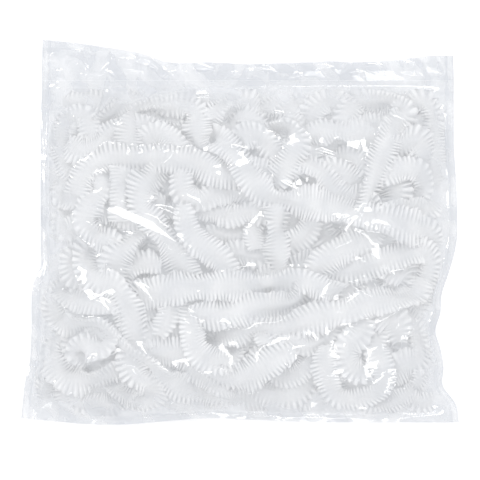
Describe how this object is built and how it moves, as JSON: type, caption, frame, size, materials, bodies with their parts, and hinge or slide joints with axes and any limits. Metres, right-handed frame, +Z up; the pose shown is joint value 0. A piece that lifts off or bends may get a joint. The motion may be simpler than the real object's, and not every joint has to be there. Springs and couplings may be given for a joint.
{
  "type": "bag of disposable strip caps",
  "caption": "Flat clear film bag packed with white pleated strip caps, welded side bands, and an empty header that folds over.",
  "frame": {"origin": "centre of the bag's outline, on the surface it lies on", "axes": "+X across the bag, +Y along it towards the empty header, +Z up through the front panel"},
  "size_m": [0.36, 0.317, 0.048],
  "materials": {
    "clear_film": "gloss",
    "cap_fabric": "matte"
  },
  "bodies": {
    "bag": {"back_film": "clear_film", "front_film": "clear_film", "cap_01": "cap_fabric", "cap_02": "cap_fabric", "cap_03": "cap_fabric", "cap_04": "cap_fabric", "cap_05": "cap_fabric", "cap_06": "cap_fabric", "cap_07": "cap_fabric", "cap_08": "cap_fabric", "cap_09": "cap_fabric", "cap_10": "cap_fabric", "cap_11": "cap_fabric", "cap_12": "cap_fabric", "cap_13": "cap_fabric", "cap_14": "cap_fabric", "cap_15": "cap_fabric", "cap_16": "cap_fabric", "cap_17": "cap_fabric", "cap_18": "cap_fabric", "cap_19": "cap_fabric", "cap_20": "cap_fabric", "cap_21": "cap_fabric", "cap_22": "cap_fabric", "cap_23": "cap_fabric", "cap_24": "cap_fabric", "cap_25": "cap_fabric", "cap_26": "cap_fabric", "cap_27": "cap_fabric", "cap_28": "cap_fabric", "cap_29": "cap_fabric", "cap_30": "cap_fabric", "cap_31": "cap_fabric", "cap_32": "cap_fabric", "cap_33": "cap_fabric", "cap_34": "cap_fabric", "cap_35": "cap_fabric", "cap_36": "cap_fabric", "cap_37": "cap_fabric", "cap_38": "cap_fabric", "cap_39": "cap_fabric", "cap_40": "cap_fabric", "cap_41": "cap_fabric", "cap_42": "cap_fabric", "cap_43": "cap_fabric", "cap_44": "cap_fabric", "cap_45": "cap_fabric", "cap_46": "cap_fabric", "cap_47": "cap_fabric", "cap_48": "cap_fabric", "cap_49": "cap_fabric", "cap_50": "cap_fabric"},
    "header": {"header_film": "clear_film"}
  },
  "joints": [
    {"name": "header_fold", "type": "hinge", "parent": "bag", "child": "header", "pos_m": [0, 0.125, 0.00815], "axis": [1, 0, 0], "range_deg": [-10, 110]}
  ]
}
